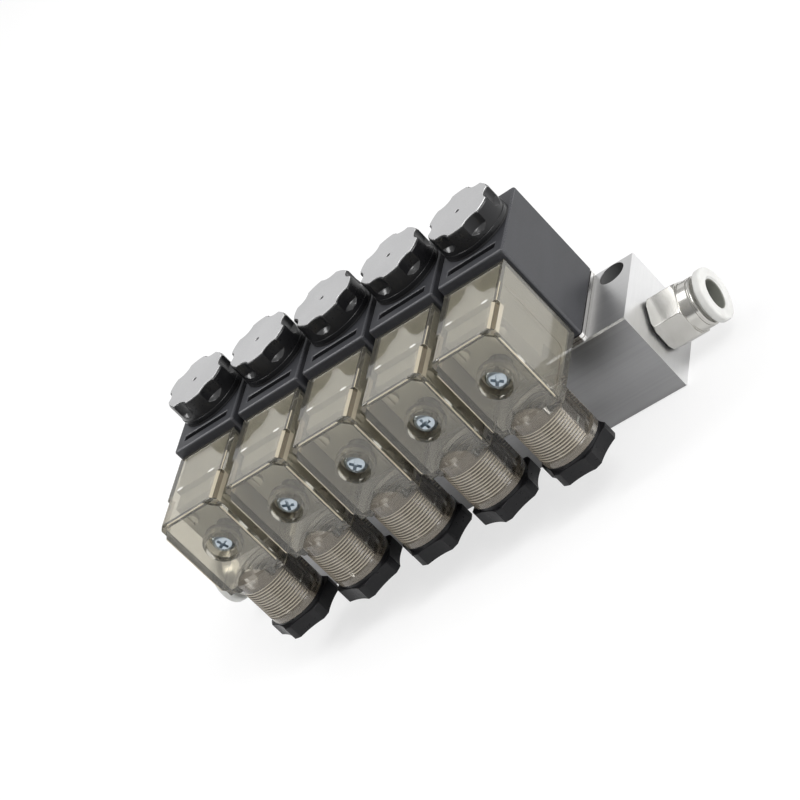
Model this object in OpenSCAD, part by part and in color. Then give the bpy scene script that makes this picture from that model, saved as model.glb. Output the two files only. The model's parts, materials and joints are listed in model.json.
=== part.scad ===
// Five direct-acting solenoid valves on one manifold bar, with push-in fittings at both ends of the bar.
// X runs along the bar, the middle valve's axis is X = 0 and Y = 0, and the bar stands on Z = 0.

/* [Coils] */
// Width of one moulded coil, along the bar
coil_w = 22; // [21:0.5:30]
// Gap between neighbouring coils
coil_gap = 2; // [1:0.5:8]
// Valve axis to the front face of a coil
coil_front = 17; // [16:0.5:24]
// Valve axis to the back face of a coil
coil_back = 12.4; // [11.4:0.2:18]
// Height of a coil
coil_h = 32.8; // [31:0.2:45]
// Radius of a coil's outer edges
coil_edge = 0.8; // [0.3:0.1:2]
// Width of the coil's hole around the armature tube
coil_bore_d = 9.8; // [9.6:0.1:11]
// Length of the slot in the coil's top
slot_l = 15.8; // [8:0.2:18]
// Width of the slot in the coil's top
slot_w = 2.3; // [1:0.1:3]
// Depth of the slot in the coil's top
slot_depth = 1.2; // [0.3:0.1:2]
// Coil's front face to the slot
slot_set = 3.3; // [1.5:0.1:3.5]

/* [Manifold bar] */
// Height of the bar
bar_h = 26.8; // [25:0.2:40]
// Valve axis to the bar's front face
bar_front = 17; // [14:0.5:24]
// Valve axis to the bar's back face
bar_back = 13; // [12:0.5:20]
// Last valve axis to the end of the bar
bar_end = 23; // [21.5:0.5:40]
// Chamfer on the bar's long edges
bar_edge = 0.5; // [0.2:0.1:1.5]
// Bore of the supply gallery
gallery_d = 7.6; // [5:0.1:8.4]
// Height of the gallery's axis
gallery_z = 12.1; // [11:0.1:12.6]
// Valve axis to the gallery's axis, towards the front
gallery_set = 3.3; // [3.2:0.1:3.6]
// Bore of the threaded port at each end of the gallery
end_port_d = 9.8; // [9:0.1:11]
// Depth of the threaded end port
end_port_depth = 9; // [7:0.5:12]
// Bore of a mounting hole
hole_d = 4.5; // [3:0.1:5.5]
// Counterbore of a mounting hole
hole_head_d = 8; // [6:0.1:9]
// Depth of the counterbore
hole_head_depth = 5; // [2:0.5:12]
// End of the bar to a mounting hole's axis
hole_inset = 6.6; // [5.5:0.1:7.5]
// Bar's back face to a mounting hole's axis
hole_set = 4.6; // [4.4:0.1:5.2]
// Bore of a threaded outlet in the back face
outlet_d = 8.8; // [6.8:0.1:9.6]
// Depth of a threaded outlet
outlet_depth = 7.5; // [5:0.5:9]
// Bar's top to an outlet's axis
outlet_drop = 12.4; // [12:0.1:14]

/* [Valve seat] */
// Width of the pocket that takes the armature tube's flange
pocket_d = 14; // [13.8:0.1:15]
// Depth of the flange pocket
pocket_depth = 3.8; // [3.4:0.1:4.4]
// Width of the valve chamber under the pocket
chamber_d = 10; // [9.8:0.1:10.6]
// Depth of the valve chamber's floor below the bar's top
chamber_depth = 7; // [6.2:0.1:7.2]
// Width of the nozzle
nozzle_d = 3.6; // [2.6:0.1:3.8]
// Height of the nozzle
nozzle_h = 1.5; // [0.6:0.1:2]
// Bore of the nozzle
orifice_d = 1.6; // [0.8:0.1:2]
// Bore of the passage from the nozzle to the outlet
passage_d = 2.2; // [1:0.1:2.4]
// Outlet's axis to the passage's axis
passage_rise = 2.6; // [1:0.1:3]
// Bore of the drilling from the gallery to the chamber
supply_d = 2.5; // [1:0.1:2.6]

/* [Base plate] */
// Thickness of the plate
plate_t = 2.2; // [1.8:0.1:4]
// How far the plate stands out before the coil
plate_proud = 0.1; // [0:0.05:0.5]
// Corner radius of the plate
plate_edge = 1.2; // [0.3:0.1:2]
// Thread size of a countersunk screw
plate_screw_d = 3; // [2:0.1:3.2]
// Head of a countersunk screw
plate_head_d = 5.4; // [4.6:0.1:5.6]
// Length of a countersunk screw
plate_screw_l = 7.5; // [5:0.5:8]
// Valve axis to a screw, along the bar
plate_screw_x = 7.6; // [7.4:0.1:7.8]
// Plate's end to a screw
plate_screw_in = 3.6; // [3.2:0.1:3.8]

/* [Armature] */
// Outer width of the armature tube
tube_d = 9.4; // [8.6:0.1:9.5]
// Wall of the armature tube
tube_wall = 0.5; // [0.3:0.1:0.8]
// Width of the tube's flange
flange_d = 13.6; // [12.6:0.1:13.7]
// Thickness of the tube's flange
flange_t = 2; // [1.4:0.1:2.4]
// Coil's top to the tube's end
tube_drop = 0.5; // [0.4:0.1:1]
// Length of the plunger
plunger_l = 19.8; // [14:0.2:26]
// Lift of the plunger
stroke = 1.2; // [0.6:0.1:2]
// Gap left above the lifted plunger
lift_gap = 0.2; // [0.1:0.1:0.6]
// Running clearance of the plunger, on the radius
plunger_clear = 0.1; // [0.04:0.01:0.2]
// Plunger to the nozzle, when shut
seat_gap = 0.05; // [0.02:0.01:0.1]
// Flat on each side of the plunger, below its radius
plunger_flat = 0.6; // [0.2:0.1:1.2]
// Bore for the spring in the plunger's top
spring_bore_d = 4.6; // [4.4:0.1:5]
// Depth of the spring's bore
spring_bore_depth = 8; // [5:0.5:10]
// Mean width of the spring
spring_d = 3.4; // [2.4:0.1:3.6]
// Wire of the spring
wire_d = 0.5; // [0.3:0.05:0.7]
// Turns of the spring
spring_turns = 7; // [4:1:9]
// Width of the stud above the fixed core
stud_d = 6; // [5:0.1:6.6]
// Coil's top to the stud's end
stud_rise = 5.2; // [4:0.1:5.5]
// Bore of the vent
vent_d = 1.4; // [0.8:0.1:2]

/* [Knob] */
// Width of the knob over its lobes
knob_d = 20.8; // [19:0.1:21.8]
// Height of the knob with its label plate
knob_h = 7.5; // [6.8:0.1:12]
// Width of the rim below the flutes
rim_d = 21.2; // [18:0.1:21.8]
// Height of the rim below the flutes
rim_h = 1.3; // [0.8:0.1:2]
// Radius of a flute
flute_r = 4.2; // [3:0.1:6]
// Depth of a flute
flute_depth = 1.3; // [0.5:0.1:1.8]
// Knob's foot to the floor of its flutes
flute_rise = 2.6; // [1.8:0.1:3.6]
// Slope from a flute's wall out to its floor
flute_slope = 1.1; // [0.4:0.1:1.2]
// Rounding of the knob's top edge
knob_edge = 0.5; // [0.2:0.1:1]
// Thickness of the label plate
label_t = 0.3; // [0.2:0.1:0.5]
// Knob's edge to the label plate's edge
label_in = 0.15; // [0.05:0.05:1]
// Width of the washer under the knob
washer_d = 21.2; // [18:0.1:21.8]
// Thickness of the washer under the knob
washer_t = 0.5; // [0.3:0.1:1]

/* [Connector housing] */
// Width of the housing, along the bar
conn_w = 20.5; // [20:0.1:21.8]
// Height of the housing
conn_h = 29; // [28:0.2:32]
// Depth of the housing, from its back rim to its front panel
conn_d = 30.5; // [29:0.5:40]
// Wall of the housing
conn_wall = 1.6; // [1.2:0.1:1.8]
// Edge radius of the housing
conn_edge = 0.6; // [0.3:0.1:1]
// Coil's foot to the connector screw's axis
screw_rise = 16.15; // [16:0.05:17]
// How far the front panel stands out
panel_rise = 0.8; // [0.3:0.1:1.4]
// Clipped corner of the front panel
panel_clip = 3.65; // [1.5:0.05:5]
// Chamfer on the housing's long top edges
top_chamfer = 1.5; // [0.6:0.1:1.5]
// Back rim to the start of the top chamfer
chamfer_set = 17.9; // [12:0.1:24]
// Back rim to the step in the housing's side
step_set = 10; // [5:0.5:16]
// Housing's foot to the step in its side
step_rise = 3.4; // [2:0.1:8]
// Corner radius of the side step
step_r = 2.5; // [1:0.1:5]
// Depth of the side step
step_depth = 0.3; // [0.1:0.05:0.5]
// Width of the screw's recess
recess_d = 8.8; // [8:0.1:11]
// Depth of the screw's recess
recess_depth = 4.4; // [3:0.1:7]
// Wall around the screw's recess
recess_wall = 1; // [0.8:0.1:2]
// Back rim to the end of the boss that the screw runs through
boss_set = 1; // [0.3:0.1:2]
// Width of that boss
boss_d = 6.4; // [5:0.1:6.6]
// Bore of the boss
boss_bore_d = 3.4; // [3.2:0.1:3.8]

/* [Cable gland] */
// Width of the gland tube
gland_d = 18; // [17:0.1:19]
// Front panel to the gland's axis
gland_set = 7.3; // [6.6:0.1:8.6]
// Length of the gland tube below the housing
gland_l = 14; // [12:0.5:15]
// Width over the flats that cut the ridges
flat_w = 15.2; // [14.8:0.1:16.6]
// Pitch of the ridges
ridge_pitch = 0.9; // [0.8:0.1:1.6]
// Width of a ridge's crest
ridge_crest = 0.2; // [0.1:0.05:0.4]
// Depth of the ridges
ridge_depth = 0.45; // [0.2:0.05:0.6]
// Smooth collar at the tube's end
tube_collar_h = 1.8; // [1:0.1:3]
// Smooth length below the housing
tube_neck_h = 1.2; // [0.6:0.1:3]
// Housing's foot to the start of the tube's fading cone
fade_set = 2.4; // [1:0.1:5]
// Height of the fading cone
fade_h = 3; // [1:0.1:6]
// Drop of the cone's radius
fade_drop = 1.8; // [1.7:0.1:3]
// Bore that takes the seal and the nut's shank
gland_bore_d = 12.4; // [11.5:0.1:12.6]
// Floor left above the seal
gland_floor = 2.1; // [1:0.1:3]
// Bore of the cable's throat
throat_d = 9; // [6:0.1:10]
// Width of the nut over its corners
nut_d = 20.6; // [19.6:0.1:21.6]
// Width of the nut across its hollow sides
nut_across = 17.8; // [16.6:0.1:18.4]
// Radius of the nut's hollow sides
nut_side_r = 16; // [12:1:40]
// Height of the nut's head
nut_h = 4.5; // [3:0.1:6]
// Width of the nut's round collar
nut_collar_d = 17.4; // [16:0.1:18]
// Height of the nut's round collar
nut_collar_h = 1; // [0.5:0.1:2]
// Length of the nut's shank
nut_shank_l = 5; // [3:0.1:7]
// Cable hole of the gland
cable_d = 8.4; // [5:0.1:8.8]
// Thickness of the gland's washer
gland_washer_t = 0.6; // [0.3:0.1:1]
// Hole of the gland's seal
gland_seal_hole_d = 8.4; // [5:0.1:8.8]

/* [Contacts] */
// Thickness of the gasket between coil and connector
gasket_t = 1; // [0.6:0.1:2]
// Gasket's edge to the housing's edge
gasket_in = 0.3; // [0.1:0.1:0.5]
// Width of the gasket's band
gasket_band = 2; // [1.4:0.1:2.2]
// Depth of the groove between the gasket's lips
lip_depth = 0.4; // [0.2:0.1:0.8]
// Depth of the contact block
block_d = 14.2; // [12:0.1:16]
// How far the terminal tower stands out of the contact block
tower_d = 6; // [3:0.5:6.5]
// Screw's axis to the tower's foot, downwards
tower_set = 4.6; // [3.6:0.1:5]
// Block's top to the tower's top
tower_drop = 1.7; // [1:0.1:2.4]
// Gap around the contact block
block_gap = 0.3; // [0.1:0.1:0.5]
// Width of a contact blade
blade_w = 6.3; // [4.8:0.1:6.6]
// Thickness of a contact blade
blade_t = 0.8; // [0.5:0.1:1]
// Length of a contact blade
blade_l = 9.5; // [7:0.5:10]
// Screw's axis to a line contact
line_set = 5.5; // [5.3:0.1:5.8]
// Screw's axis to the earth contact
earth_set = 9; // [8:0.1:10]
// Clearance around a blade in its slot
blade_gap = 0.2; // [0.1:0.05:0.3]
// Screw's axis to the line terminals, upwards
terminal_rise = 8; // [7:0.1:9]
// Head of a terminal screw
terminal_head_d = 3.6; // [3:0.1:4]
// Height of a terminal screw's head
terminal_head_h = 1.3; // [0.8:0.1:1.6]
// Width of the slot in a terminal screw's head
terminal_slot_w = 0.7; // [0.4:0.1:1]
// Depth of that slot
terminal_slot_depth = 0.6; // [0.3:0.1:0.7]
// Shank of a terminal screw
terminal_d = 2; // [1.6:0.1:2.4]
// Length of a terminal screw's shank
terminal_l = 3.5; // [2:0.5:3.5]

/* [Connector screw] */
// Thread size of the connector screw
screw_d = 3; // [2.5:0.1:3]
// Head of the connector screw
screw_head_d = 6.6; // [5:0.1:7]
// Height of the connector screw's head
screw_head_h = 2.3; // [1.8:0.1:2.8]
// Height of the head's straight skirt
skirt_h = 1.1; // [0.6:0.1:1.6]
// Width of the flat on top of the head
crown_flat_d = 3.6; // [2:0.1:4]
// Length of thread in the coil
screw_in = 6; // [4:0.5:7]
// Span of the head's cross
cross_span = 3.4; // [2.4:0.1:4]
// Width of the head's cross
cross_w = 0.9; // [0.4:0.1:1]
// Width of the cone in the middle of the cross
cross_hub_d = 2; // [1.4:0.1:2.4]
// Depth of the head's cross
cross_depth = 1.1; // [0.6:0.1:1.4]

/* [Push-in fittings] */
// Width across the hexagon's flats
hex_af = 15; // [14.6:0.1:18]
// Length of the hexagon
hex_l = 9; // [7:0.1:12]
// Turn of the hexagon about the gallery's axis
hex_turn = 28.5; // [0:0.5:60]
// Chamfer at the hexagon's ends
hex_chamfer = 0.7; // [0.3:0.1:1.2]
// Width of the sealing ring under the hexagon
seal_d = 14.2; // [12:0.1:14.5]
// Thickness of the sealing ring
seal_t = 0.8; // [0.5:0.1:1.5]
// Clearance of the threaded shank in the port
shank_clear = 0.1; // [0.02:0.01:0.15]
// Length of the threaded shank
shank_l = 8; // [5:0.5:8.5]
// Bore through the shank
shank_bore_d = 6; // [4:0.1:7]
// Width of the round collar
collar_d = 14.4; // [13:0.1:14.6]
// Length of the round collar
collar_l = 4.2; // [3:0.1:6]
// Width of the groove near the collar's end
groove_w = 0.6; // [0.3:0.1:1]
// Depth of the groove near the collar's end
groove_depth = 0.3; // [0.1:0.1:0.6]
// Collar's end to the groove
groove_set = 0.6; // [0.3:0.1:1]
// Outer width of the tube that the fitting takes
hose_d = 8; // [6:0.5:8.5]
// Clearance of that tube, on the radius
hose_clear = 0.1; // [0.05:0.05:0.2]
// Collar's end to the stop that the tube meets
socket_depth = 11; // [10.5:0.1:12]
// Bore that guides the release ring
sleeve_bore_d = 10.8; // [10.6:0.1:11.4]
// Collar's end to the tube's O-ring
sleeve_bore_l = 9; // [8.6:0.1:9.4]
// Running clearance of the release ring, on the radius
sleeve_clear = 0.1; // [0.04:0.01:0.1]
// Length of the release ring's sleeve
sleeve_l = 6.4; // [4:0.1:6.6]
// Width of the release ring's head
ring_d = 15.6; // [14:0.1:17]
// Thickness of the release ring's head
ring_t = 2.6; // [1.6:0.1:4]
// Gap between the collar and the release ring's head
ring_gap = 1.2; // [1:0.1:2]
// Rounding of the release ring's head
ring_edge = 0.7; // [0.3:0.1:0.8]

/* [Hidden] */
$fn = 64;
stations = 5;
// How far each knob and each gland nut is turned, in degrees, from the first station to the last
knob_turns = [9, 8, 27, 14, 4];
nut_turns = [18, 35, 5, 33, 5];
// The same for the connector screws
screw_turns = [20, 65, 40, 5, 50];
flutes = 6;
// Step, in degrees, of a rounded edge in a turned profile
round_step = 22.5;
// Extra depth that carries a cut through a face
cut = 1;
// Gap under a part that is turned by hand
turn_gap = 0.1;
// Gap around a screw's thread or a part pushed home
fit_gap = 0.05;
// Difference in width between a bore and a part that is slid or turned into it
slide_gap = 0.2;

pitch = coil_w + coil_gap;
bar_half = (stations - 1) / 2 * pitch + bar_end;
plate_z = bar_h;
coil_z = bar_h + plate_t;
coil_top = coil_z + coil_h;
plate_front = coil_front + plate_proud;
plate_back = coil_back + plate_proud;
chamber_z = bar_h - chamber_depth;
nozzle_z = chamber_z + nozzle_h;
outlet_z = bar_h - outlet_drop;
tube_z = bar_h - flange_t;
tube_top = coil_top - tube_drop;
plunger_z = nozzle_z + seat_gap;
plunger_r = tube_d / 2 - tube_wall - plunger_clear;
plunger_top = plunger_z + plunger_l;
core_z = plunger_top + stroke + lift_gap;
knob_z = coil_top + washer_t + turn_gap;
knob_top = knob_z + knob_h - label_t;
screw_z = coil_z + screw_rise;
rim_y = -coil_front - gasket_t;
conn_front = rim_y - conn_d;
conn_z = screw_z - conn_h / 2;
panel_back = conn_front + panel_rise;
gland_y = conn_front + gland_set;
gland_z = conn_z - gland_l;
seal_top = conn_z - gland_floor;
nut_top = gland_z - turn_gap;
shank_top = nut_top + nut_shank_l;
gland_washer_z = shank_top + turn_gap;
gland_seal_z = gland_washer_z + gland_washer_t;
block_back = rim_y - block_gap;
block_front = block_back - block_d;
hex_x = bar_half + seal_t;
collar_x = hex_x + hex_l;
fitting_end = collar_x + collar_l;
ring_x = fitting_end + ring_gap;

function station_x(n) = (n - (stations + 1) / 2) * pitch;

module at_station(n) {
    translate([station_x(n), 0, 0]) children();
}

module at_each_station() {
    for (n = [1 : stations]) at_station(n) children();
}

// Lays a shape that is drawn along Z onto the gallery's axis, running outwards from the middle of the bar
module along_gallery(side) {
    mirror([side < 0 ? 1 : 0, 0, 0])
        translate([0, -gallery_set, gallery_z])
            rotate([0, 90, 0]) children();
}

// Lays a shape that is drawn along Z onto the connector screw's axis, running towards the front
module along_screw(y) {
    translate([0, y, screw_z]) rotate([90, 0, 0]) children();
}

module rounded_rectangle(w, h, r) {
    square([w - 2 * r, h], center = true);
    square([w, h - 2 * r], center = true);
    for (x = [-1, 1], y = [-1, 1])
        translate([x * (w / 2 - r), y * (h / 2 - r)]) circle(r);
}

// Block with every edge rounded, between a front and a back plane, standing on z
module soft_block(w, front, back, z, h, r) {
    translate([0, (front + back) / 2, z + h / 2])
        intersection() {
            linear_extrude(height = h, center = true) rounded_rectangle(w, back - front, r);
            rotate([90, 0, 0])
                linear_extrude(height = back - front, center = true) rounded_rectangle(w, h, r);
            rotate([90, 0, 90])
                linear_extrude(height = w, center = true) rounded_rectangle(back - front, h, r);
        }
}

module plate_screw_places() {
    mid = (plate_back - plate_front) / 2;
    reach = (plate_back + plate_front) / 2 - plate_screw_in;
    for (s = [-1, 1])
        translate([s * plate_screw_x, mid + s * reach, 0]) children();
}

// Manifold bar

module bar_section() {
    e = bar_edge;
    polygon([
        [-bar_front + e, 0], [bar_back - e, 0], [bar_back, e], [bar_back, bar_h - e],
        [bar_back - e, bar_h], [-bar_front + e, bar_h], [-bar_front, bar_h - e], [-bar_front, e]
    ]);
}

module valve_seat_cut() {
    difference() {
        union() {
            translate([0, 0, bar_h - pocket_depth]) cylinder(h = pocket_depth + cut, d = pocket_d);
            translate([0, 0, chamber_z]) cylinder(h = chamber_depth, d = chamber_d);
        }
        translate([0, 0, chamber_z - cut]) cylinder(h = nozzle_h + cut, d = nozzle_d);
    }
    translate([0, 0, outlet_z + passage_rise])
        cylinder(h = nozzle_z + cut - outlet_z - passage_rise, d = orifice_d);
    translate([0, -gallery_set, gallery_z]) cylinder(h = chamber_z + cut - gallery_z, d = supply_d);
    translate([0, bar_back - outlet_depth + cut, outlet_z + passage_rise])
        rotate([90, 0, 0]) cylinder(h = bar_back - outlet_depth + cut + orifice_d / 2, d = passage_d);
    translate([0, bar_back + cut, outlet_z])
        rotate([90, 0, 0]) cylinder(h = outlet_depth + cut, d = outlet_d);
}

module mounting_hole_cut() {
    translate([0, 0, -cut]) cylinder(h = bar_h + 2 * cut, d = hole_d);
    translate([0, 0, bar_h - hole_head_depth]) cylinder(h = hole_head_depth + cut, d = hole_head_d);
}

module manifold_block() {
    color("silver")
        difference() {
            rotate([90, 0, 90])
                linear_extrude(height = 2 * bar_half, center = true) bar_section();
            along_gallery(1)
                cylinder(h = 2 * bar_half, d = gallery_d, center = true);
            for (side = [-1, 1]) {
                along_gallery(side)
                    translate([0, 0, bar_half - end_port_depth])
                        cylinder(h = end_port_depth + cut, d = end_port_d);
                translate([side * (bar_half - hole_inset), bar_back - hole_set, 0]) mounting_hole_cut();
            }
            at_each_station() {
                valve_seat_cut();
                plate_screw_places()
                    translate([0, 0, coil_z - plate_screw_l - cut])
                        cylinder(h = plate_screw_l + cut, d = plate_screw_d + 2 * fit_gap);
            }
        }
}

// Base plates and their screws

module base_plate() {
    difference() {
        translate([0, (plate_back - plate_front) / 2, plate_z])
            linear_extrude(height = plate_t)
                rounded_rectangle(coil_w, plate_front + plate_back, plate_edge);
        translate([0, 0, plate_z - cut]) cylinder(h = plate_t + 2 * cut, d = coil_bore_d);
        plate_screw_places() {
            translate([0, 0, plate_z - cut])
                cylinder(h = plate_t + 2 * cut, d = plate_screw_d + 2 * fit_gap);
            translate([0, 0, coil_z])
                mirror([0, 0, 1]) plate_screw_head(fit_gap);
        }
    }
}

// Countersunk head, drawn from its flat top downwards, larger all round by the gap
module plate_screw_head(gap) {
    h = (plate_head_d - plate_screw_d) / 2;
    cylinder(h = h, d1 = plate_head_d + 2 * gap, d2 = plate_screw_d + 2 * gap);
}

module base_plates() {
    color("gainsboro") at_each_station() base_plate();
}

module plate_screws() {
    color("lightsteelblue")
        at_each_station()
            plate_screw_places()
                translate([0, 0, coil_z - fit_gap])
                    mirror([0, 0, 1]) {
                        plate_screw_head(0);
                        cylinder(h = plate_screw_l - fit_gap, d = plate_screw_d);
                    }
}

// Armature tubes, cores, plungers and springs

module armature_tube() {
    difference() {
        union() {
            translate([0, 0, tube_z]) cylinder(h = flange_t, d = flange_d);
            translate([0, 0, tube_z]) cylinder(h = tube_top - tube_z, d = tube_d);
        }
        translate([0, 0, tube_z - cut])
            cylinder(h = tube_top - tube_z + 2 * cut, d = tube_d - 2 * tube_wall);
    }
}

module armature_tubes() {
    color("lightgrey") at_each_station() armature_tube();
}

module fixed_core() {
    difference() {
        union() {
            translate([0, 0, core_z])
                cylinder(h = tube_top - core_z, d = tube_d - 2 * tube_wall - 2 * fit_gap);
            translate([0, 0, tube_top]) cylinder(h = tube_drop - fit_gap, d = tube_d);
            translate([0, 0, tube_top]) cylinder(h = tube_drop + stud_rise, d = stud_d);
        }
        translate([0, 0, core_z - cut])
            cylinder(h = tube_top + tube_drop + stud_rise + 2 * cut - core_z, d = vent_d);
    }
}

module fixed_cores() {
    color("grey") at_each_station() fixed_core();
}

module tube_orings() {
    section = pocket_depth - flange_t;
    color("black")
        at_each_station()
            translate([0, 0, tube_z - section / 2])
                rotate_extrude()
                    translate([pocket_d / 2 - fit_gap - section / 2, 0])
                        circle(d = section, $fn = 32);
}

module plunger(n) {
    flat_x = plunger_r - plunger_flat;
    color("slategrey")
        at_station(n)
            translate([0, 0, plunger_z])
                difference() {
                    cylinder(h = plunger_l, r = plunger_r);
                    translate([0, 0, plunger_l - spring_bore_depth])
                        cylinder(h = spring_bore_depth + cut, d = spring_bore_d);
                    for (side = [0, 1])
                        mirror([side, 0, 0])
                            translate([flat_x, -plunger_r, -cut])
                                cube([plunger_r, 2 * plunger_r, plunger_l + 2 * cut]);
                }
}

// Spring as a swept wire: a ring of points for every step along the helix, closed by its two end faces
wire_sides = 6;
steps_per_turn = 10;
spring_z = plunger_top - spring_bore_depth;
spring_rise = core_z - spring_z - wire_d;
spring_steps = spring_turns * steps_per_turn;

function wire_point(step, side) =
    let (turn = 360 * step / steps_per_turn)
    let (around = 360 * side / wire_sides)
    let (out = spring_d / 2 + wire_d / 2 * cos(around))
    [out * cos(turn), out * sin(turn),
     spring_z + wire_d / 2 + spring_rise * step / spring_steps + wire_d / 2 * sin(around)];

module plunger_spring(n) {
    points = [for (step = [0 : spring_steps], side = [0 : wire_sides - 1]) wire_point(step, side)];
    walls = [
        for (step = [0 : spring_steps - 1], side = [0 : wire_sides - 1])
            let (a = step * wire_sides, b = (side + 1) % wire_sides)
            [a + side, a + b, a + b + wire_sides, a + side + wire_sides]
    ];
    first = [for (side = [wire_sides - 1 : -1 : 0]) side];
    last = [for (side = [0 : wire_sides - 1]) spring_steps * wire_sides + side];
    color("darkgrey")
        at_station(n) polyhedron(points = points, faces = concat(walls, [first, last]), convexity = 10);
}

// Coils

module coil(n) {
    color([0.16, 0.16, 0.17])
        at_station(n)
            difference() {
                soft_block(coil_w, -coil_front, coil_back, coil_z, coil_h, coil_edge);
                translate([0, 0, coil_z - cut]) cylinder(h = coil_h + 2 * cut, d = coil_bore_d);
                translate([-slot_l / 2, slot_set - coil_front, coil_top - slot_depth])
                    cube([slot_l, slot_w, slot_depth + cut]);
                along_screw(-coil_front - cut)
                    mirror([0, 0, 1])
                        cylinder(h = screw_in + cut + fit_gap, d = screw_d + 2 * fit_gap);
            }
}

// Knobs, their label plates and washers

module flute_cuts(r, z, h) {
    for (k = [0 : flutes - 1])
        rotate([0, 0, 360 * k / flutes])
            translate([r - flute_depth + flute_r, 0, z]) cylinder(h = h, r = flute_r);
}

// A flute runs out low on the side in a sloping floor
module grip_cuts(r, h) {
    top = h + cut;
    for (k = [0 : flutes - 1])
        rotate([0, 0, 360 * k / flutes])
            translate([r - flute_depth + flute_r, 0, 0])
                rotate_extrude()
                    polygon([
                        [0, flute_rise], [flute_r - flute_slope, flute_rise],
                        [flute_r, flute_rise + flute_slope], [flute_r, top], [0, top]
                    ]);
}

module knob(n) {
    r = knob_d / 2;
    h = knob_h - label_t;
    color([0.13, 0.13, 0.14])
        at_station(n)
            translate([0, 0, knob_z])
                rotate([0, 0, knob_turns[n - 1]])
                    difference() {
                        union() {
                            cylinder(h = rim_h, d = rim_d);
                            difference() {
                                translate([0, 0, rim_h]) cylinder(h = h - rim_h - knob_edge, r = r);
                                grip_cuts(r, h);
                            }
                            difference() {
                                translate([0, 0, h - knob_edge])
                                    cylinder(h = knob_edge, r1 = r, r2 = r - knob_edge / 2);
                                grip_cuts(r, h);
                            }
                        }
                        translate([0, 0, -cut])
                            cylinder(h = stud_rise - washer_t + 2 * cut, d = stud_d + slide_gap);
                        cylinder(h = h + cut, d = vent_d);
                    }
}

module knob_label(n) {
    r = knob_d / 2 - knob_edge / 2 - label_in;
    color([0.72, 0.72, 0.73])
        at_station(n)
            translate([0, 0, knob_top])
                rotate([0, 0, knob_turns[n - 1]])
                    difference() {
                        cylinder(h = label_t, r = r);
                        flute_cuts(r, -cut, label_t + 2 * cut);
                        translate([0, 0, -cut]) cylinder(h = label_t + 2 * cut, d = vent_d);
                    }
}

module knob_washers() {
    color([0.08, 0.08, 0.08])
        at_each_station()
            translate([0, 0, coil_top])
                difference() {
                    cylinder(h = washer_t, d = washer_d);
                    translate([0, 0, -cut]) cylinder(h = washer_t + 2 * cut, d = stud_d + slide_gap);
                }
}

// Connector housings

module housing_shell() {
    difference() {
        union() {
            soft_block(conn_w, panel_back, rim_y, conn_z, conn_h, conn_edge);
            along_screw(panel_back + conn_edge)
                linear_extrude(height = panel_rise + conn_edge) clipped_panel();
        }
        for (side = [0, 1])
            mirror([side, 0, 0]) {
                top_edge_cut();
                side_step_cut();
            }
    }
}

module clipped_panel() {
    x = conn_w / 2;
    z = conn_h / 2;
    c = panel_clip;
    polygon([
        [-x + c, -z], [x - c, -z], [x, -z + c], [x, z - c], [x - c, z], [-x + c, z], [-x, z - c], [-x, -z + c]
    ]);
}

module top_edge_cut() {
    translate([conn_w / 2, rim_y - chamfer_set, conn_z + conn_h])
        rotate([90, 0, 0])
            linear_extrude(height = conn_d)
                polygon([
                    [-top_chamfer, 0], [cut, top_chamfer + cut], [cut, -top_chamfer - cut], [0, -top_chamfer]
                ]);
}

// The side is let in behind and below the front shell, and the step's corner is round
module side_step_cut() {
    translate([conn_w / 2 - step_depth, 0, 0])
        rotate([90, 0, 90])
            linear_extrude(height = step_depth + cut)
                difference() {
                    translate([conn_front - cut, conn_z - cut]) square([conn_d + 2 * cut, conn_h + 2 * cut]);
                    step_window();
                }
}

module step_window() {
    back = rim_y - step_set;
    foot = conn_z + step_rise;
    top = conn_z + conn_h + 2 * cut;
    translate([conn_front - 2 * cut, foot + step_r])
        square([back - conn_front + 2 * cut, top - foot - step_r]);
    translate([conn_front - 2 * cut, foot])
        square([back - step_r - conn_front + 2 * cut, top - foot]);
    translate([back - step_r, foot + step_r]) circle(step_r);
}

module gland_profile() {
    r = gland_d / 2;
    low = gland_z + tube_collar_h;
    ridges = floor((conn_z - tube_neck_h - low) / ridge_pitch);
    valley = (ridge_pitch - ridge_crest) / 2;
    polygon(concat(
        [[0, gland_z], [r, gland_z], [r, low]],
        [
            for (k = [0 : ridges - 1])
                for (p = [[ridge_depth, valley], [0, ridge_pitch - ridge_crest], [0, ridge_pitch]])
                    [r - p[0], low + k * ridge_pitch + p[1]]
        ],
        [[r, conn_z + fade_set], [r - fade_drop, conn_z + fade_set + fade_h], [0, conn_z + fade_set + fade_h]]
    ));
}

module gland_tube() {
    low = gland_z + tube_collar_h;
    high = conn_z - tube_neck_h;
    translate([0, gland_y, 0])
        difference() {
            rotate_extrude() gland_profile();
            for (side = [0, 1])
                mirror([side, 0, 0])
                    translate([flat_w / 2, -gland_d / 2, low]) cube([gland_d, gland_d, high - low]);
        }
}

// Boss that the screw runs through, and the cup around its sunk head, both ending inside the front wall
module screw_boss() {
    end_y = panel_back + conn_wall / 2;
    boss_y = rim_y - boss_set;
    cup_y = conn_front + recess_depth + recess_wall;
    along_screw(boss_y) cylinder(h = boss_y - end_y, d = boss_d);
    along_screw(cup_y) cylinder(h = cup_y - end_y, d = recess_d + 2 * recess_wall);
}

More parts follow.
